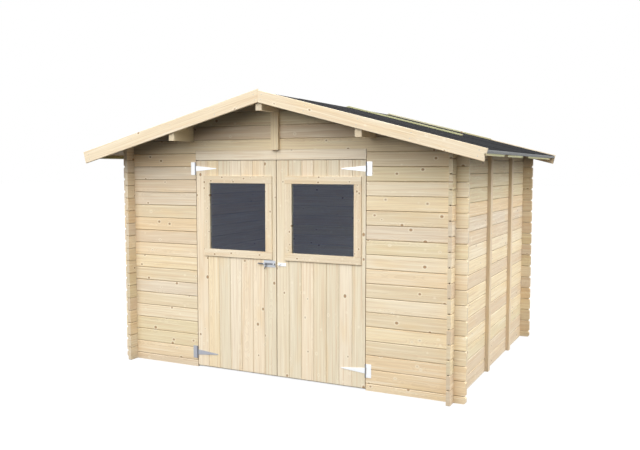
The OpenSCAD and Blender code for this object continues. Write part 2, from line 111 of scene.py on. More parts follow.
WHITE = (1, 1, 1, 1)
DOME_COLOUR = (0.96, 0.98, 1.02, 1)
DOME_RIM = 0.08
DOME_HIGH = 2.9
DOME_CROWN_SHARE = 0.2
RIM_HEIGHT = 0.12
HIGH_HEIGHT = 0.8
world = bpy.data.worlds.new("studio")
world.use_nodes = True
scene.world = world
sky = world.node_tree
sky.nodes.clear()
upward = parts(sky, node(sky, "ShaderNodeTexCoord").outputs["Generated"])[2]
rise = smooth_step(sky, upward, RIM_HEIGHT, HIGH_HEIGHT, DOME_RIM, DOME_HIGH)
crown = smooth_step(sky, upward, HIGH_HEIGHT, 1.0, 1.0, DOME_CROWN_SHARE)
fill = node(sky, "ShaderNodeBackground", {"Color": DOME_COLOUR, "Strength": times(sky, rise, crown)})
white = node(sky, "ShaderNodeBackground", {"Color": WHITE, "Strength": 1.0})
around = node(sky, "ShaderNodeMixShader", {0: seen_ray(sky), 1: fill.outputs[0], 2: white.outputs[0]})
node(sky, "ShaderNodeOutputWorld", {"Surface": around.outputs[0]})

FLOOR_HALF = 60.0
FLOOR_BOUNCE = (0.045, 0.05, 0.058, 1)
FLOOR_WHITE = (0.9, 0.9, 0.9, 1)
FLOOR_GLOW_SHARE = 0.85
floor_mesh = bpy.data.meshes.new("floor")
floor_corners = [(-FLOOR_HALF, -FLOOR_HALF, 0), (FLOOR_HALF, -FLOOR_HALF, 0),
                 (FLOOR_HALF, FLOOR_HALF, 0), (-FLOOR_HALF, FLOOR_HALF, 0)]
floor_mesh.from_pydata(floor_corners, [], [(0, 1, 2, 3)])
floor = bpy.data.objects.new("floor", floor_mesh)
scene.collection.objects.link(floor)
floor_paint = bpy.data.materials.new("floor_paint")
floor_paint.use_nodes = True
floor_tree = floor_paint.node_tree
floor_tree.nodes.clear()
bounce = node(floor_tree, "ShaderNodeBsdfDiffuse", {"Color": FLOOR_BOUNCE})
matt = node(floor_tree, "ShaderNodeBsdfDiffuse", {"Color": FLOOR_WHITE})
glow = node(floor_tree, "ShaderNodeEmission", {"Color": WHITE, "Strength": 1.0})
shown = node(floor_tree, "ShaderNodeMixShader",
             {0: FLOOR_GLOW_SHARE, 1: matt.outputs[0], 2: glow.outputs[0]})
floor_mix = node(floor_tree, "ShaderNodeMixShader",
                 {0: seen_ray(floor_tree), 1: bounce.outputs[0], 2: shown.outputs[0]})
node(floor_tree, "ShaderNodeOutputMaterial", {"Surface": floor_mix.outputs[0]})
floor_mesh.materials.append(floor_paint)

LAMP_SIZE = 8.0
LAMP_HEIGHT = 5.8


def soft_lamp(name, x, y, target, power):
    """A square soft lamp that faces a point on the shed."""
    place = Vector((x, y, LAMP_HEIGHT))
    lamp_data = bpy.data.lights.new(name, "AREA")
    lamp_data.size = LAMP_SIZE
    lamp_data.energy = power
    lamp = bpy.data.objects.new(name, lamp_data)
    lamp.location = place
    lamp.rotation_euler = (Vector(target) - place).to_track_quat("-Z", "Y").to_euler()
    scene.collection.objects.link(lamp)


soft_lamp("front_lamp", -1.6, -8.8, (0, -1, 1), 540)
soft_lamp("side_lamp", 9.0, 0.4, (1.4, 0.3, 1), 520)
soft_lamp("corner_lamp", -7.4, 7.4, (-0.6, 0.6, 1), 620)

# Wall boards: planed spruce, tongue and groove, stacked and notched over each other at the corners.
# Every board has its own tint, its own rings and a few small knots, and no finish but the plane's. Close
# under the roof the gables are painted darker: painted shade where the roof boards keep the light off.
COURSE = 0.1063
SLOPE = math.radians(14.7)
ROOF_FALL = math.tan(SLOPE)
ROOF_LINE = (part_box("ridge_purlin")[1].z, ROOF_FALL)


def srgb(red, green, blue):
    """A colour given in 8-bit screen values, as the shader takes it."""
    def linear(value):
        part = value / 255
        return part / 12.92 if part <= 0.04045 else ((part + 0.055) / 1.055) ** 2.4
    return (linear(red), linear(green), linear(blue), 1.0)


def mix_colour(tree, share, first, second):
    """Two colours mixed by a share."""
    made = node(tree, "ShaderNodeMix", {0: share, 6: first, 7: second}, data_type="RGBA")
    return made.outputs[2]


def vector(tree, x, y, z):
    """Three values as one vector."""
    return node(tree, "ShaderNodeCombineXYZ", {0: x, 1: y, 2: z}).outputs[0]


COARSE_DETAIL = 2.0
FINE_DETAIL = 3.0


def noise(tree, place, detail=COARSE_DETAIL):
    """Soft noise at a place."""
    made = node(tree, "ShaderNodeTexNoise", {"Vector": place, "Scale": 1.0, "Detail": detail})
    return made.outputs["Fac"]


BOARD_KNOT = 0.016
BOARD_KNOTS = 12.0
LATH_KNOT = 0.007
KNOT_STRETCH = 0.8
KNOT_LAYER = 0.113
KNOT_SHRINK = 0.6
HALO_EDGES = (1.35, 0.9)
CORE_EDGES = (1.0, 0.5)
SWAY_EDGES = (3.5, 0.5)
SWAY = 0.008


def knot_marks(tree, run, middle, layer, knot, often):
    """How much pale halo, brown core and swerving grain the nearest knot gives to a place."""
    place = vector(tree, times(tree, run, KNOT_STRETCH), middle, times(tree, layer, KNOT_LAYER))
    knots = node(tree, "ShaderNodeTexVoronoi", {"Vector": place, "Scale": often, "Randomness": 1.0},
                 voronoi_dimensions="3D").outputs
    smaller = times(tree, parts(tree, knots["Color"])[0], knot * KNOT_SHRINK)
    away = maths(tree, "ADD", maths(tree, "DIVIDE", knots["Distance"], often), smaller)
    halo = smooth_step(tree, away, knot * HALO_EDGES[0], knot * HALO_EDGES[1])
    core = smooth_step(tree, away, knot * CORE_EDGES[0], knot * CORE_EDGES[1])
    sway = smooth_step(tree, away, knot * SWAY_EDGES[0], knot * SWAY_EDGES[1], 0.0, SWAY)
    return halo, core, sway


RING_WIDTH = 0.0045
WANDER_ALONG = 1.1
WANDER = 0.035
PITH_SPREAD = 1.1
PITH_DEPTH = 0.03
PITH_DEPTH_RANGE = 0.07
LATE_WOOD = (0.2, 0.85)
YEAR_END = (1.0, 0.9)


def year_rings(tree, run, middle, deep, layer, luck, board, sway):
    """The late wood of the year rings round a pith that wanders along the board."""
    wander = noise(tree, vector(tree, times(tree, run, WANDER_ALONG), layer, 0.0))
    aside = maths(tree, "MULTIPLY_ADD", maths(tree, "SUBTRACT", luck[1], 0.5), board * PITH_SPREAD, middle)
    inside = maths(tree, "ADD", maths(tree, "MODULO", deep, board), PITH_DEPTH)
    below = maths(tree, "MULTIPLY_ADD", luck[2], PITH_DEPTH_RANGE, inside)
    squares = maths(tree, "ADD", times(tree, aside, aside), times(tree, below, below))
    from_pith = maths(tree, "MULTIPLY_ADD", wander, WANDER, maths(tree, "SQRT", squares))
    swerved = maths(tree, "ADD", from_pith, sway)
    year = maths(tree, "FRACT", maths(tree, "DIVIDE", swerved, RING_WIDTH))
    return times(tree, smooth_step(tree, year, *LATE_WOOD), smooth_step(tree, year, *YEAR_END))


def board_tint(tree, luck, tints):
    """One of a set of tints, drawn for each board."""
    made = node(tree, "ShaderNodeValToRGB", {0: luck})
    ramp = made.color_ramp
    ramp.interpolation = "CONSTANT"
    while len(ramp.elements) < len(tints):
        ramp.elements.new(0.5)
    for order, (stop, tint) in enumerate(zip(ramp.elements, tints)):
        stop.position = order / len(tints)
        stop.color = tint
    return made.outputs[0]


# Each step holds two limits of a value and the two amounts that go with them.
WALL_TINTS = [srgb(242, 226, 194), srgb(231, 213, 178), srgb(239, 217, 180), srgb(232, 216, 177),
              srgb(229, 213, 187), srgb(244, 225, 186), srgb(236, 211, 171), srgb(227, 206, 175)]
HONEY = srgb(238, 208, 156)
HONEY_STEP = (0.52, 0.72, 0.0, 0.35)
GRAIN_PALE = srgb(252, 240, 216)
PALE_STEP = (0.5, 0.3, 0.0, 0.45)
GRAIN_WARM = srgb(226, 198, 160)
WARM_STEP = (0.5, 0.72, 0.0, 0.6)
GRAIN_DARK = srgb(176, 144, 108)
RING_SHARE = 0.12
FIBRE_STEP = (0.42, 0.75, 0.0, 0.25)
KNOT_HALO = srgb(254, 243, 218)
HALO_SHARE = 0.45
KNOT_CORE = srgb(160, 120, 74)
CORE_SHARE = 0.85
JOINT_SHADE = srgb(150, 124, 92)
JOINT_HALF = 0.0042
END_GRAIN = srgb(186, 170, 146)
END_GRAIN_STEP = (0.85, 0.95, 0.0, 0.4)
# A dark brown painted as shade into the last hand's breadth under the roof boards.
ROOF_SHADE_PAINT = srgb(50, 45, 41)
ROOF_SHADE_STEP = (0.14, 0.03, 0.0, 0.55)
PLANED_ROUGH_STEP = (0.2, 0.8, 0.5, 0.7)
PLANED_SHINE = 0.3
RING_RELIEF = 0.5
GRAIN_RELIEF = 0.25
GRAIN_DEPTH = 0.0006
BOARD_SHIFT = 23.0
LAYER_STEP = 3.71
SEED_STEP = 11.3
FIBRE_ALONG = 3.0
FIBRE_ACROSS = 260.0
STREAK_ALONG = 1.6
STREAK_ACROSS = 70.0
RESIN_ALONG = 2.4
RESIN_ACROSS = 9.0


def spruce(name, along, across, board, start, seed, tints, lean=0.0, joint=0.0,
           knot=BOARD_KNOT, often=BOARD_KNOTS, roof_line=None):
    """Spruce in boards of one width: each board's tint, rings, fibres and knots.

    along and across name the axes of the grain and of the board's width. lean lifts z by its share of |x|,
    so that what lies on the roof's slope reads as level. joint darkens the grooves between the boards.
    knot is the radius of the largest knots, and often is how closely they lie. roof_line is the ridge
    height and the fall of a roof that the boards run up to; close under it the wood gets painted shade.
    """
    material = bpy.data.materials.new(name)
    material.use_nodes = True
    tree = material.node_tree
    shader = tree.nodes["Principled BSDF"]
    where = node(tree, "ShaderNodeTexCoord").outputs
    x, y, z = parts(tree, where["Object"])
    from_ridge = maths(tree, "ABSOLUTE", x)
    level = maths(tree, "MULTIPLY_ADD", from_ridge, lean, z) if lean else z
    axes = {"X": x, "Y": y, "Z": level}
    deep = axes[({"X", "Y", "Z"} - {along, across}).pop()]
    from_start = maths(tree, "SUBTRACT", axes[across], start)
    number = maths(tree, "FLOOR", maths(tree, "DIVIDE", from_start, board))
    centre = maths(tree, "MULTIPLY_ADD", maths(tree, "ADD", number, 0.5), board, start)
    middle = maths(tree, "SUBTRACT", axes[across], centre)
    drawn = node(tree, "ShaderNodeTexWhiteNoise", {"Vector": vector(tree, number, seed, 0.5)},
                 noise_dimensions="3D")
    luck = parts(tree, drawn.outputs["Color"])
    run = maths(tree, "MULTIPLY_ADD", luck[0], BOARD_SHIFT, axes[along])
    layer = maths(tree, "MULTIPLY_ADD", number, LAYER_STEP, seed * SEED_STEP)

    halo, core, sway = knot_marks(tree, run, middle, layer, knot, often)
    ring = year_rings(tree, run, middle, deep, layer, luck, board, sway)
    fibre_place = vector(tree, times(tree, run, FIBRE_ALONG), times(tree, axes[across], FIBRE_ACROSS),
                         times(tree, deep, FIBRE_ACROSS))
    fibre = noise(tree, fibre_place, FINE_DETAIL)
    streak_place = vector(tree, times(tree, run, STREAK_ALONG), times(tree, middle, STREAK_ACROSS), layer)
    streak = noise(tree, streak_place, FINE_DETAIL)
    resin_place = vector(tree, times(tree, run, RESIN_ALONG), times(tree, middle, RESIN_ACROSS), layer)
    resin = noise(tree, resin_place)
    to_joint = maths(tree, "SUBTRACT", board / 2, maths(tree, "ABSOLUTE", middle))
    end_on = maths(tree, "ABSOLUTE", parts(tree, where["Normal"])["XYZ".index(along)])

    shades = [(HONEY, smooth_step(tree, resin, *HONEY_STEP)),
              (GRAIN_PALE, smooth_step(tree, streak, *PALE_STEP)),
              (GRAIN_WARM, smooth_step(tree, streak, *WARM_STEP)),
              (GRAIN_DARK, times(tree, ring, RING_SHARE)),
              (GRAIN_DARK, smooth_step(tree, fibre, *FIBRE_STEP)),
              (KNOT_HALO, times(tree, halo, HALO_SHARE)),
              (KNOT_CORE, times(tree, core, CORE_SHARE)),
              (JOINT_SHADE, smooth_step(tree, to_joint, JOINT_HALF, 0.0, 0.0, joint)),
              (END_GRAIN, smooth_step(tree, end_on, *END_GRAIN_STEP))]
    # Painted shade: the wood darkens close under the roof line, where the roof boards keep the light off.
    if roof_line:
        ridge_height, fall = roof_line
        roof = maths(tree, "MULTIPLY_ADD", from_ridge, -fall, ridge_height)
        under_roof = maths(tree, "SUBTRACT", roof, z)
        shades.append((ROOF_SHADE_PAINT, smooth_step(tree, under_roof, *ROOF_SHADE_STEP)))
    colour = board_tint(tree, luck[0], tints)
    for shade, share in shades:
        colour = mix_colour(tree, share, colour, shade)
    tree.links.new(colour, shader.inputs["Base Color"])
    tree.links.new(smooth_step(tree, fibre, *PLANED_ROUGH_STEP), shader.inputs["Roughness"])
    relief = maths(tree, "MULTIPLY_ADD", ring, RING_RELIEF, fibre)
    bump = node(tree, "ShaderNodeBump",
                {"Height": relief, "Strength": GRAIN_RELIEF, "Distance": GRAIN_DEPTH})
    tree.links.new(bump.outputs[0], shader.inputs["Normal"])
    shader.inputs["Specular IOR Level"].default_value = PLANED_SHINE
    return material


def dress(material, *names):
    """Give CAD nodes their finished material."""
    for name in names:
        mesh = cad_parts[name].data
        mesh.materials.clear()
        mesh.materials.append(material)


WALL_JOINT = 0.75
GABLE_JOINT = 0.35
for name, along, start, seed in (("left_wall", "Y", 0.0, 1.0), ("right_wall", "Y", 0.0, 2.0),
                                 ("front_wall_left", "X", -COURSE / 2, 3.0),
                                 ("front_wall_right", "X", -COURSE / 2, 4.0)):
    dress(spruce(name + "_spruce", along, "Z", COURSE, start, seed, WALL_TINTS, joint=WALL_JOINT), name)
gable_spruce = spruce("front_gable_spruce", "X", "Z", COURSE, -COURSE / 2, 5.0, WALL_TINTS,
                      joint=GABLE_JOINT, roof_line=ROOF_LINE)
dress(gable_spruce, "front_gable")
back_spruce = spruce("back_wall_spruce", "X", "Z", COURSE, -COURSE / 2, 6.0, WALL_TINTS,
                     joint=WALL_JOINT, roof_line=ROOF_LINE)
dress(back_spruce, "back_wall", "back_gable")

# Doorway: spruce posts and a head rail nailed inside the opening as door stops, a board in two halves over
# the doors, tinted lighter as painted light against the shade of the eave, and a short post that covers the
# gable boards under the ridge beam. Each is cut from one stick, so the boards of its material are wider than
# it is.
POST_STICK = 0.4
POST_START = 0.2
ONE_BOARD = 2.0
LINTEL_START = 0.9
# Lighter than the walls: painted light that lifts the lintel and head rail out of the eave's shade.
LINTEL_LIT_TINTS = [srgb(250, 235, 208)]
post_spruce = spruce("post_spruce", "Z", "X", POST_STICK, POST_START, 7.0, WALL_TINTS, knot=LATH_KNOT)
dress(post_spruce, "left_door_post", "right_door_post", "gable_post")
lintel_spruce = spruce("lintel_spruce", "X", "Z", ONE_BOARD, LINTEL_START, 9.0, LINTEL_LIT_TINTS)
dress(lintel_spruce, "door_lintel", "door_head_rail")


# Storm battens: two planed battens up each side wall, screwed through to hold the stacked boards down
# against the wind.
def solid(bodies):
    """A mesh of closed bodies, each given as sections of the same number of points, capped at both ends."""
    shape = bmesh.new()
    for sections in bodies:
        rows = [[shape.verts.new(point) for point in section] for section in sections]
        for row, following in zip(rows, rows[1:]):
            for here in range(len(row)):
                there = (here + 1) % len(row)
                shape.faces.new((row[here], row[there], following[there], following[here]))
        shape.faces.new(rows[0])
        shape.faces.new(rows[-1])
    bmesh.ops.recalc_face_normals(shape, faces=shape.faces)
    bmesh.ops.triangulate(shape, faces=[face for face in shape.faces if len(face.verts) > 4])
    return shape


def piece(name, bodies, body, materials, replaced=(), smooth=False):
    """A finished piece made of closed bodies, which moves with a body of the shed."""
    shape = solid(bodies)
    mesh = bpy.data.meshes.new(name)
    shape.to_mesh(mesh)
    shape.free()
    for material in materials:
        mesh.materials.append(material)
    if smooth:
        mesh.polygons.foreach_set("use_smooth", [True] * len(mesh.polygons))
    made = bpy.data.objects.new(name, mesh)
    scene.collection.objects.link(made)
    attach(made, body)
    for cad_node in replaced:
        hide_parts(cad_node)
    return made


HEAD_SIDES = 16
HEAD_RINGS = ((1.0, -0.6), (1.0, 0.35), (0.72, 0.8), (0.3, 1.0))


def head(place, out, radius, rise):
    """A low domed nail or screw head that stands out of a surface."""
    out = Vector(out).normalized()
    across = out.orthogonal().normalized()
    up = out.cross(across)
    turns = [math.tau * step / HEAD_SIDES for step in range(HEAD_SIDES)]
    rings = []
    for share, height in HEAD_RINGS:
        centre = Vector(place) + out * rise * height
        rings.append([centre + (across * math.cos(turn) + up * math.sin(turn)) * radius * share
                      for turn in turns])
    return rings


MOTTLE = 220.0
MOTTLE_LIMITS = (0.3, 0.7)
MOTTLE_ROUGH = 0.08


def metal(name, colour, rough, shine):
    """Plain plated steel with a faint mottle."""
    material = bpy.data.materials.new(name)
    material.use_nodes = True
    tree = material.node_tree
    shader = tree.nodes["Principled BSDF"]
    place = node(tree, "ShaderNodeTexCoord").outputs["Object"]
    mottle = node(tree, "ShaderNodeTexNoise", {"Vector": place, "Scale": MOTTLE, "Detail": FINE_DETAIL})
    roughness = smooth_step(tree, mottle.outputs["Fac"], *MOTTLE_LIMITS,
                            rough - MOTTLE_ROUGH, rough + MOTTLE_ROUGH)
    tree.links.new(roughness, shader.inputs["Roughness"])
    shader.inputs["Base Color"].default_value = colour
    shader.inputs["Metallic"].default_value = shine
    return material


STORM_WIDTH = 0.06
STORM_STICK = 0.4
STORM_START = 0.1
STORM_TINTS = [srgb(232, 212, 180), srgb(226, 206, 174), srgb(229, 206, 172)]
STORM_SCREW = 0.0045
STORM_SCREW_COURSES = range(1, 17, 3)
STORM_STAGGER = 0.012
SCREW_RISE = 0.001
SIDES = ((-1, "left"), (1, "right"))
steel = metal("nail_steel", srgb(190, 190, 188), 0.4, 0.8)
storm_spruce = spruce("storm_spruce", "Z", "Y", STORM_STICK, STORM_START, 8.0, STORM_TINTS, knot=LATH_KNOT)
dress(storm_spruce, "left_storm_battens", "right_storm_battens")
for side, side_name in SIDES:
    low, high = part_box(side_name + "_storm_battens")
    face_x = high.x if side > 0 else low.x
    screws = []
    for middle_y in (low.y + STORM_WIDTH / 2, high.y - STORM_WIDTH / 2):
        for course in STORM_SCREW_COURSES:
            place = (face_x, middle_y + STORM_STAGGER * (-1) ** course, (course + 0.5) * COURSE)
            screws.append(head(place, (side, 0, 0), STORM_SCREW, SCREW_RISE))
    piece(side_name + "_storm_screws", screws, "shed", [steel], smooth=True)

# Roof beams: one ridge beam and two side beams of planed spruce, let into both gables and closed at their
# ends by the bargeboards.
BEAM_STICK = 0.7
BEAM_START = 0.35
beam_spruce = spruce("beam_spruce", "Y", "X", BEAM_STICK, BEAM_START, 10.0, WALL_TINTS)
dress(beam_spruce, "ridge_purlin", "left_purlin", "right_purlin")

# Roof boards: narrow spruce boards laid from ridge to eave, with a V joint on their undersides, and nailed
# to the beams.
DECK_THICK = 0.016
DECK_BOARDS = 28
DECK_V = 0.0025
DECK_JOINT = 0.0004
DECK_LIFT = 0.0001
# Much darker than the wall tints of the same spruce: painted shade for the roof's underside.
DECK_SHADE_TINTS = [srgb(122, 111, 95), srgb(114, 103, 88), srgb(128, 118, 100)]
ridge_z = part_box("ridge_purlin")[1].z
deck_low, deck_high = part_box("right_roof_deck")
deck_run = (deck_high.x - DECK_THICK * math.sin(SLOPE)) / math.cos(SLOPE)
roof_front = deck_low.y
roof_back = deck_high.y
deck_wide = (roof_back - roof_front) / DECK_BOARDS


def on_slope(side, down, off, y):
    """A point down the roof from the ridge and square off the underside of the roof boards."""
    x = down * math.cos(SLOPE) + off * math.sin(SLOPE)
    return Vector((side * x, y, ridge_z - down * math.sin(SLOPE) + off * math.cos(SLOPE)))


def at_ridge(off, y):
    """The point on the ridge mitre of a layer of the roof."""
    return Vector((0, y, ridge_z + off / math.cos(SLOPE)))


def deck_board(side, near, far):
    """One roof board from ridge to eave, with both lower edges chamfered."""
    foot = DECK_LIFT + DECK_V
    section = [(near, foot), (near + DECK_V, DECK_LIFT), (far - DECK_V, DECK_LIFT), (far, foot),
               (far, DECK_THICK), (near, DECK_THICK)]
    return [[at_ridge(off, y) for y, off in section],
            [on_slope(side, deck_run, off, y) for y, off in section]]


for side, side_name in SIDES:
    edges = [roof_front + count * deck_wide for count in range(DECK_BOARDS + 1)]
    boards = [deck_board(side, near + DECK_JOINT, far - DECK_JOINT) for near, far in zip(edges, edges[1:])]
    deck_spruce = spruce(side_name + "_deck_spruce", "X", "Y", deck_wide, roof_front, 11.0 + side,
                         DECK_SHADE_TINTS, lean=ROOF_FALL, joint=WALL_JOINT)
    piece(side_name + "_deck_boards", boards, "shed", [deck_spruce],
          [side_name + "_roof_deck"])

# Roofing felt: bitumen felt with a slate-grey mineral face, in three widths from ridge to eave. Each width
# laps over the one before it, turns down over the eave in a round bend and is held there by clout nails.
FELT_THICK = 0.0013
FELT_LIFT = 0.0002
FELT_LAP_RISE = 0.0014
FELT_BAND = 0.026
FELT_TOTAL = 0.003
BEND_RADIUS = 0.007
BEND_STEPS = 6
FELT_LAPS = (0.38, 1.37)
LAP_WIDE = 0.05
BAND_DROP = 0.001
CLOUTS = 19
CLOUT_MARGIN = 0.05
CLOUT_OFF = 0.006
CLOUT = 0.0042
NAIL_RISE = 0.0006
MINERAL_GRAINS = 700.0
MINERAL_STEP = (0.35, 0.65)
WASH_ALONG = 1.2
WASH_ACROSS = 9.0
WASH_DETAIL = 5.0
WASH_STEP = (0.35, 0.7, 0.0, 0.6)
MINERAL_RELIEF = 0.5
MINERAL_DEPTH = 0.001
MINERAL_SHINE = 0.04
front_face_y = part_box("front_wall_left")[0].y


def mineral(name, dark, light, patch):
    """Felt with a face of fine mineral grains, washed in faint streaks from ridge to eave."""
    material = bpy.data.materials.new(name)
    material.use_nodes = True
    tree = material.node_tree
    shader = tree.nodes["Principled BSDF"]
    place = node(tree, "ShaderNodeTexCoord").outputs["Object"]
    grains = node(tree, "ShaderNodeTexNoise",
                  {"Vector": place, "Scale": MINERAL_GRAINS, "Detail": COARSE_DETAIL}).outputs["Fac"]
    x, y, z = parts(tree, place)
    washed = vector(tree, times(tree, x, WASH_ALONG), times(tree, y, WASH_ACROSS), z)
    streaks = noise(tree, washed, WASH_DETAIL)
    grained = mix_colour(tree, smooth_step(tree, grains, *MINERAL_STEP), dark, light)
    streaked = mix_colour(tree, smooth_step(tree, streaks, *WASH_STEP), grained, patch)
    tree.links.new(streaked, shader.inputs["Base Color"])
    bump = node(tree, "ShaderNodeBump",
                {"Height": grains, "Strength": MINERAL_RELIEF, "Distance": MINERAL_DEPTH})
    tree.links.new(bump.outputs[0], shader.inputs["Normal"])
    shader.inputs["Roughness"].default_value = 1.0
    shader.inputs["Specular IOR Level"].default_value = MINERAL_SHINE
    return material


slate_felt = mineral("slate_felt", srgb(23, 23, 24), srgb(39, 39, 40), srgb(44, 44, 45))
# The turned-down band is a paler grey: partly grains rubbed pale at the bend, partly painted highlight where
# it faces the light.
felt_band_highlight = mineral("felt_edge_highlight", srgb(128, 128, 126), srgb(158, 158, 156), srgb(140, 141, 140))
clouts = metal("clout_steel", srgb(150, 150, 148), 0.5, 0.7)


def felt_line(side, y, lift, depth):
    """A line in the felt from the ridge to the foot of its turned-down band, at a depth under its face."""
    off = DECK_THICK + FELT_LIFT + lift + FELT_THICK - depth
    radius = BEND_RADIUS - depth
    edge = deck_run + FELT_TOTAL
    line = [at_ridge(off, y)]
    for step in range(BEND_STEPS + 1):
        turn = math.radians(90) * step / BEND_STEPS
        line.append(on_slope(side, edge - BEND_RADIUS + radius * math.sin(turn),
                             off - radius + radius * math.cos(turn), y))
    line.append(on_slope(side, edge - depth, DECK_THICK + FELT_TOTAL - FELT_BAND, y))
    return line


for side, side_name in SIDES:
    laps = [roof_front] + [front_face_y + lap for lap in FELT_LAPS] + [roof_back]
    widths = []
    for near, far in zip(laps, laps[1:]):
        start_lift = FELT_LAP_RISE if near > roof_front else 0.0
        end_y = far + (LAP_WIDE if far < roof_back else 0.0)
        widths.append([felt_line(side, y, lift, 0.0) + felt_line(side, y, lift, FELT_THICK)[::-1]
                       for y, lift in ((near, start_lift), (end_y, 0.0))])
    sheet = piece(side_name + "_felt", widths, "shed", [slate_felt, felt_band_highlight],
                  [side_name + "_roof_felt"])
    band_top = on_slope(side, deck_run, DECK_THICK - BAND_DROP, 0).z
    # The band's outward faces take the paler felt, partly as painted highlight.
    for face in sheet.data.polygons:
        faces_out = abs(face.normal.y) < 0.5 and face.normal.x * side > 0.6
        if face.center.z < band_top and faces_out:
            face.material_index = 1
    nails = []
    clout_step = (roof_back - roof_front - 2 * CLOUT_MARGIN) / (CLOUTS - 1)
    for count in range(CLOUTS):
        clout_y = roof_front + CLOUT_MARGIN + count * clout_step
        place = on_slope(side, deck_run + FELT_TOTAL, CLOUT_OFF, clout_y)
        nails.append(head(place, (side * math.cos(SLOPE), 0, -math.sin(SLOPE)), CLOUT, NAIL_RISE))
    piece(side_name + "_felt_clouts", nails, "shed", [clouts], smooth=True)

# Bargeboards: wide planed spruce boards nailed over the ends of the roof, mitred together at the ridge, with
# their arrises eased. The lower end of the right front one is cut plumb under its nose.
BARGE_TINTS = [srgb(236, 218, 186), srgb(231, 210, 176)]
BARGE_START = 1.0
BARGE_NOSE = 0.4
BARGE_RISE = 0.006
BARGE_HIGH = 0.086
LEFT_BARGE_EXTRA = 0.009
ARRIS = 0.002
NAIL = 0.0032
BARGE_NAILS_DOWN = (0.035, 0.4, 0.82, 1.22)
BARGE_NAIL_END = 0.05
BARGE_NAILS_OFF = (-0.038, 0.002)
SHARPEST_MITRE = 0.3
DECK_AND_FELT = DECK_THICK + FELT_TOTAL


def inset(outline, amount):
    """An outline drawn in by an amount all round, for an outline that runs anticlockwise."""
    drawn_in = []
    for here, point in enumerate(outline):
        before = (point - outline[here - 1]).normalized()
        after = (outline[(here + 1) % len(outline)] - point).normalized()
        left_before = Vector((-before.y, before.x))
        left_after = Vector((-after.y, after.x))
        bisector = (left_before + left_after).normalized()
        drawn_in.append(point + bisector * amount / max(bisector.dot(left_before), SHARPEST_MITRE))
    return drawn_in


def eased(outline, hidden, shown, amount):
    """A board of an outline in x and z between a hidden and a shown face in y, its shown arrises eased."""
    area = sum(a.x * b.y - b.x * a.y for a, b in zip(outline, outline[1:] + outline[:1]))
    ordered = outline if area > 0 else outline[::-1]
    step = amount if shown > hidden else -amount
    sections = ((ordered, hidden), (ordered, shown - step), (inset(ordered, amount), shown))
    return [[Vector((point.x, y, point.y)) for point in line] for line, y in sections]


def flat(point):
    """The x and z of a point."""
    return Vector((point.x, point.z))


for end_name, out in (("front", -1), ("back", 1)):
    for side, side_name in SIDES:
        name = end_name + "_" + side_name + "_bargeboard"
        low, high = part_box(name)
        foot = DECK_AND_FELT + BARGE_RISE - BARGE_HIGH
        barge_top = foot + BARGE_HIGH + (LEFT_BARGE_EXTRA if name == "front_left_bargeboard" else 0)
        barge_run = (max(abs(low.x), abs(high.x)) - barge_top * math.sin(SLOPE)) / math.cos(SLOPE)
        toe = flat(on_slope(side, barge_run, foot, 0))
        nose = flat(on_slope(side, barge_run, barge_top - BARGE_NOSE * BARGE_HIGH, 0))
        outline = [flat(at_ridge(foot, 0)), toe]
        if name == "front_right_bargeboard":
            outline += [Vector((toe.x, nose.y)), nose]
        outline += [flat(on_slope(side, barge_run, barge_top, 0)), flat(at_ridge(barge_top, 0))]
        hidden_y, shown_y = (high.y, low.y + NAIL_RISE) if out < 0 else (low.y, high.y - NAIL_RISE)
        barge_spruce = spruce(name + "_spruce", "X", "Z", ONE_BOARD, BARGE_START, 12.0 + side + out / 2,
                              BARGE_TINTS, lean=ROOF_FALL)
        board = eased(outline, hidden_y, shown_y, ARRIS)
        piece(name + "_board", [board], "shed", [barge_spruce], [name])
        nails = []
        for down in BARGE_NAILS_DOWN + (barge_run - BARGE_NAIL_END,):
            for off in BARGE_NAILS_OFF:
                nails.append(head(on_slope(side, down, off, shown_y), (0, out, 0), NAIL, NAIL_RISE))
        piece(name + "_nails", nails, "shed", [steel], smooth=True)

# Felt battens: pressure-treated laths, pale green, nailed down the roof over the laps of the felt, and in
# three lengths under each eave, where they clamp the turned-down felt.
TREATED_TINTS = [srgb(188, 189, 142), srgb(180, 181, 133), srgb(193, 191, 148)]
ROOF_LATH_STICK = 0.3
ROOF_LATH_START = 0.05
EAVE_LATH_START = 1.0
BATTEN_THICK = 0.012
BATTEN_WIDTH = 0.036
BATTEN_GAP = 0.0001
BATTEN_TOP = DECK_AND_FELT + BATTEN_THICK + BATTEN_GAP
BATTEN_NAILS = 6
FIRST_BATTEN_NAIL = 0.06
BATTEN_NAIL_STEP = 0.2
BATTEN_STAGGER = 0.006
roof_lath = spruce("treated_roof_lath", "X", "Y", ROOF_LATH_STICK, ROOF_LATH_START, 13.0, TREATED_TINTS,
                   lean=ROOF_FALL)
dress(roof_lath, "left_felt_battens", "right_felt_battens")
eave_lath = spruce("treated_eave_lath", "Y", "Z", ONE_BOARD, EAVE_LATH_START, 14.0, TREATED_TINTS)
dress(eave_lath, "left_eave_battens", "right_eave_battens")
for side, side_name in SIDES:
    low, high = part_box(side_name + "_felt_battens")
    nails = []
    for middle_y in (low.y + BATTEN_WIDTH / 2, high.y - BATTEN_WIDTH / 2):
        for count in range(BATTEN_NAILS):
            down = FIRST_BATTEN_NAIL + count * BATTEN_NAIL_STEP
            place = on_slope(side, down, BATTEN_TOP, middle_y + BATTEN_STAGGER * (-1) ** count)
            nails.append(head(place, (side * math.sin(SLOPE), 0, math.cos(SLOPE)), NAIL, NAIL_RISE))
    piece(side_name + "_batten_nails", nails, "shed", [steel], smooth=True)

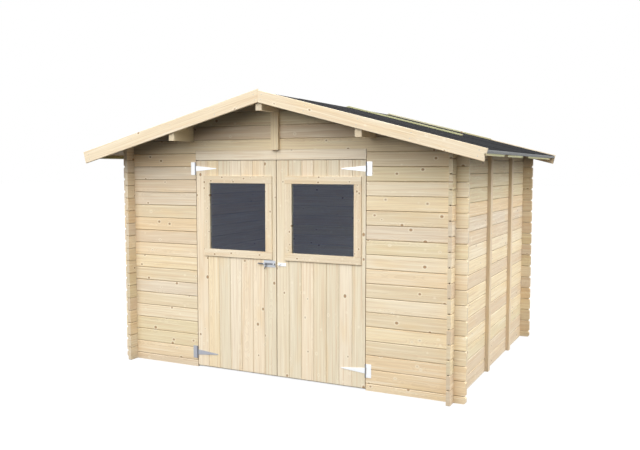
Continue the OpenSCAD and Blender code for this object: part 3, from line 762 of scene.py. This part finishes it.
# Hinge plates: pressed steel, zinc plated, with a pin through their knuckles and four screws into the wall.
# Along the pin the zinc is painted dark: painted shade in the gap between plate and strap. The lower left
# hinge is painted greyer: a painted dimmer reflection.
IRON = 0.003
HINGE_SCREW = 0.0042
HINGE_SCREW_RISE = 0.0012
KNUCKLE = 0.005
PIN_SHADE_SHARE = 0.6
PLATE_HIGH = 0.102
PLATE_SCREWS = ((0.013, 0.038), (0.013, -0.038), (0.019, 0.013), (0.019, -0.013))
PIN_SHADE = srgb(96, 97, 100)
BRIGHT_ZINC = srgb(240, 242, 244)
# Painted reflection: the lower left hinge is greyer, as if it mirrored darker surroundings.
DIM_REFLECTION_ZINC = srgb(172, 174, 182)
DIM_BELOW = 0.5
ZINC_ROUGH = 0.42
ZINC_SHINE = 0.6
doorway_x = -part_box("front_wall_left")[1].x


def hinge_zinc(name, low_colour):
    """Zinc plate, with one colour on the lower hinge and another on the upper one, and painted shade at the
    pin.
    """
    material = metal(name, BRIGHT_ZINC, ZINC_ROUGH, ZINC_SHINE)
    tree = material.node_tree
    x, y, z = parts(tree, node(tree, "ShaderNodeTexCoord").outputs["Object"])
    off_pin = maths(tree, "ABSOLUTE", maths(tree, "SUBTRACT", maths(tree, "ABSOLUTE", x), doorway_x))
    upper = maths(tree, "GREATER_THAN", z, DIM_BELOW)
    plated = mix_colour(tree, upper, low_colour, BRIGHT_ZINC)
    # Painted shade: a dark line along the pin, where the gap between plate and strap lies in shade.
    pin_shade_mask = smooth_step(tree, off_pin, KNUCKLE, KNUCKLE * PIN_SHADE_SHARE)
    pin_shaded = mix_colour(tree, pin_shade_mask, plated, PIN_SHADE)
    tree.links.new(pin_shaded, tree.nodes["Principled BSDF"].inputs["Base Color"])
    return material


# The left hinges carry the painted dimmer reflection on their lower hinge.
left_zinc = hinge_zinc("left_hinge_zinc", DIM_REFLECTION_ZINC)
right_zinc = hinge_zinc("right_hinge_zinc", BRIGHT_ZINC)
HINGE_SIDES = ((-1, "left", left_zinc), (1, "right", right_zinc))
for side, side_name, plating in HINGE_SIDES:
    dress(plating, side_name + "_hinge_plates")
    low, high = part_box(side_name + "_hinge_plates")
    outer_x = max(abs(low.x), abs(high.x))
    screws = []
    for middle_z in (low.z + PLATE_HIGH / 2, high.z - PLATE_HIGH / 2):
        for across, up in PLATE_SCREWS:
            place = (side * (outer_x - across), front_face_y - IRON, middle_z + up)
            screws.append(head(place, (0, -1, 0), HINGE_SCREW, HINGE_SCREW_RISE))
    piece(side_name + "_plate_screws", screws, "shed", [plating], smooth=True)

# Door leaves: seven upright spruce boards each, V jointed, held together by three ledges that are screwed on
# from the inside.
DOOR_TINTS = [srgb(245, 230, 203), srgb(238, 223, 192), srgb(246, 228, 198), srgb(240, 219, 193),
              srgb(245, 225, 187), srgb(235, 222, 193)]
DOOR_BOARDS = 7
DOOR_JOINT = 0.3
LEDGE_STICK = 0.5
LEDGE_START = 0.0
LOW_LEDGE_SCREWS = (0.03, 0.065)
TOP_LEDGE_SCREW = 0.03
LEDGE_END = 0.01
LEDGE_SCREW_RISE = 0.0008
leaf_low, leaf_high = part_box("right_door_leaf")
door_board = (leaf_high.x - leaf_low.x) / DOOR_BOARDS
for name, start, seed in (("right_door", leaf_low.x, 15.0), ("left_door", -leaf_high.x, 16.0)):
    leaf_spruce = spruce(name + "_spruce", "Z", "X", door_board, start, seed, DOOR_TINTS, joint=DOOR_JOINT)
    dress(leaf_spruce, name + "_leaf")
ledge_spruce = spruce("ledge_spruce", "X", "Z", LEDGE_STICK, LEDGE_START, 17.0, DOOR_TINTS)
dress(ledge_spruce, "left_door_ledges", "right_door_ledges")
for side, side_name in SIDES:
    low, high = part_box(side_name + "_door_ledges")
    screws = []
    for screw_z in [low.z + up for up in LOW_LEDGE_SCREWS] + [high.z - TOP_LEDGE_SCREW]:
        for count in range(DOOR_BOARDS):
            x = side * (leaf_low.x + (count + 0.5) * door_board)
            if low.x + LEDGE_END < x < high.x - LEDGE_END:
                screws.append(head((x, high.y, screw_z), (0, 1, 0), HINGE_SCREW, LEDGE_SCREW_RISE))
    piece(side_name + "_ledge_screws", screws, side_name + "_door", [steel], smooth=True)

# Windows: thin spruce frames outside the doors, their rails running over the uprights, and beads inside,
# which hold one pane of float glass between them.
FRAME_TINTS = [srgb(238, 221, 190), srgb(233, 215, 183), srgb(236, 216, 184)]
FRAME_WIDE = 0.059
FRAME_ARRIS = 0.0015
FRAME_KNOT = 0.012
FRAME_KNOTS = 24.0
RAIL_STICK = 0.7
RAIL_START = 0.6
UPRIGHT_STICK = 0.6
BEAD_WIDE = 0.009
BEAD_ARRIS = 0.0008
GLASS_THICK = 0.004
BUTT_JOINT = 0.0002


def butted_ring(mid_x, mid_z, half_wide, half_high, wide, hidden, shown, ease):
    """Two rails of full width above and below an opening, then two uprights between them."""
    def member(x0, x1, z0, z1):
        corners = ((x0, z0), (x1, z0), (x1, z1), (x0, z1))
        return eased([Vector((mid_x + x, mid_z + z)) for x, z in corners], hidden, shown, ease)
    inner = half_high - wide
    rails = [member(-half_wide, half_wide, -half_high, -inner),
             member(-half_wide, half_wide, inner, half_high)]
    between = inner - BUTT_JOINT
    uprights = [member(-half_wide, wide - half_wide, -between, between),
                member(half_wide - wide, half_wide, -between, between)]
    return rails + uprights


for side, side_name in SIDES:
    low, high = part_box(side_name + "_window_frame")
    mid_x = (low.x + high.x) / 2
    mid_z = (low.z + high.z) / 2
    half_wide = (high.x - low.x) / 2
    half_high = (high.z - low.z) / 2
    opening_wide = half_wide - FRAME_WIDE
    opening_high = half_high - FRAME_WIDE
    rings = butted_ring(mid_x, mid_z, half_wide, half_high, FRAME_WIDE, front_face_y, low.y, FRAME_ARRIS)
    rings += butted_ring(mid_x, mid_z, opening_wide + BEAD_WIDE, opening_high + BEAD_WIDE, BEAD_WIDE,
                         front_face_y + GLASS_THICK, high.y, BEAD_ARRIS)
    rail_spruce = spruce(side_name + "_rail_spruce", "X", "Z", RAIL_STICK, RAIL_START, 18.0 + side,
                         FRAME_TINTS, knot=FRAME_KNOT, often=FRAME_KNOTS)
    upright_spruce = spruce(side_name + "_upright_spruce", "Z", "X", UPRIGHT_STICK, mid_x - UPRIGHT_STICK,
                            20.0 + side, FRAME_TINTS, knot=FRAME_KNOT, often=FRAME_KNOTS)
    surround = piece(side_name + "_window_surround", rings, side_name + "_door",
                     [rail_spruce, upright_spruce], [side_name + "_window_frame"])
    for face in surround.data.polygons:
        face.material_index = 1 if abs(face.center.z - mid_z) < opening_high - BUTT_JOINT else 0

glass = bpy.data.materials.new("float_glass")
glass.use_nodes = True
glass_shader = glass.node_tree.nodes["Principled BSDF"]
glass_shader.inputs["Base Color"].default_value = (0.78, 0.84, 0.86, 1)
glass_shader.inputs["Roughness"].default_value = 0.02
glass_shader.inputs["IOR"].default_value = 1.5
glass_shader.inputs["Specular Tint"].default_value = (0.62, 0.7, 1.0, 1)
glass_shader.inputs["Transmission Weight"].default_value = 1.0
dress(glass, "left_window_glass", "right_window_glass")

# Hinge straps: tapered straps of zinc-plated steel, each with a knuckle rolled round the pin of its wall
# plate and three screws into the door.
STRAP_WIDE = 0.043
STRAP_SCREWS = (0.04, 0.095, 0.145)
for side, side_name, plating in HINGE_SIDES:
    dress(plating, side_name + "_hinge_straps")
    low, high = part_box(side_name + "_hinge_straps")
    screws = []
    for middle_z in (low.z + STRAP_WIDE / 2, high.z - STRAP_WIDE / 2):
        for reach in STRAP_SCREWS:
            place = (side * (doorway_x - reach), front_face_y - IRON, middle_z)
            screws.append(head(place, (0, -1, 0), HINGE_SCREW, HINGE_SCREW_RISE))
    piece(side_name + "_strap_screws", screws, side_name + "_door", [plating], smooth=True)

# Bolt: a dull steel rod with a leaning handle, in two sleeves on a worn zinc plate on the left door. Its
# keeper on the right door is bright zinc. Both plates are screwed on at their edges.
BOLT_SCREW = 0.003
BOLT_SCREW_MARGIN = 0.005
GUIDE_SCREWS_IN = (0.05, 0.03)
KEEPER_SCREWS_IN = (0.032, 0.012)
dull_iron = metal("dull_iron", srgb(112, 113, 118), 0.35, 0.85)
worn_zinc = metal("worn_zinc", srgb(196, 199, 204), 0.4, ZINC_SHINE)
bright_zinc = metal("bright_zinc", BRIGHT_ZINC, ZINC_ROUGH, ZINC_SHINE)
dress(dull_iron, "bolt_rod")
for name, body, plating, screws_in in (("bolt_guide", "left_door", worn_zinc, GUIDE_SCREWS_IN),
                                       ("bolt_keeper", "right_door", bright_zinc, KEEPER_SCREWS_IN)):
    dress(plating, name)
    low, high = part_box(name)
    screws = []
    for x in (low.x + screws_in[0], high.x - screws_in[1]):
        for z in (low.z + BOLT_SCREW_MARGIN, high.z - BOLT_SCREW_MARGIN):
            screws.append(head((x, front_face_y - IRON, z), (0, -1, 0), BOLT_SCREW, SCREW_RISE))
    piece(name + "_screws", screws, body, [plating], smooth=True)
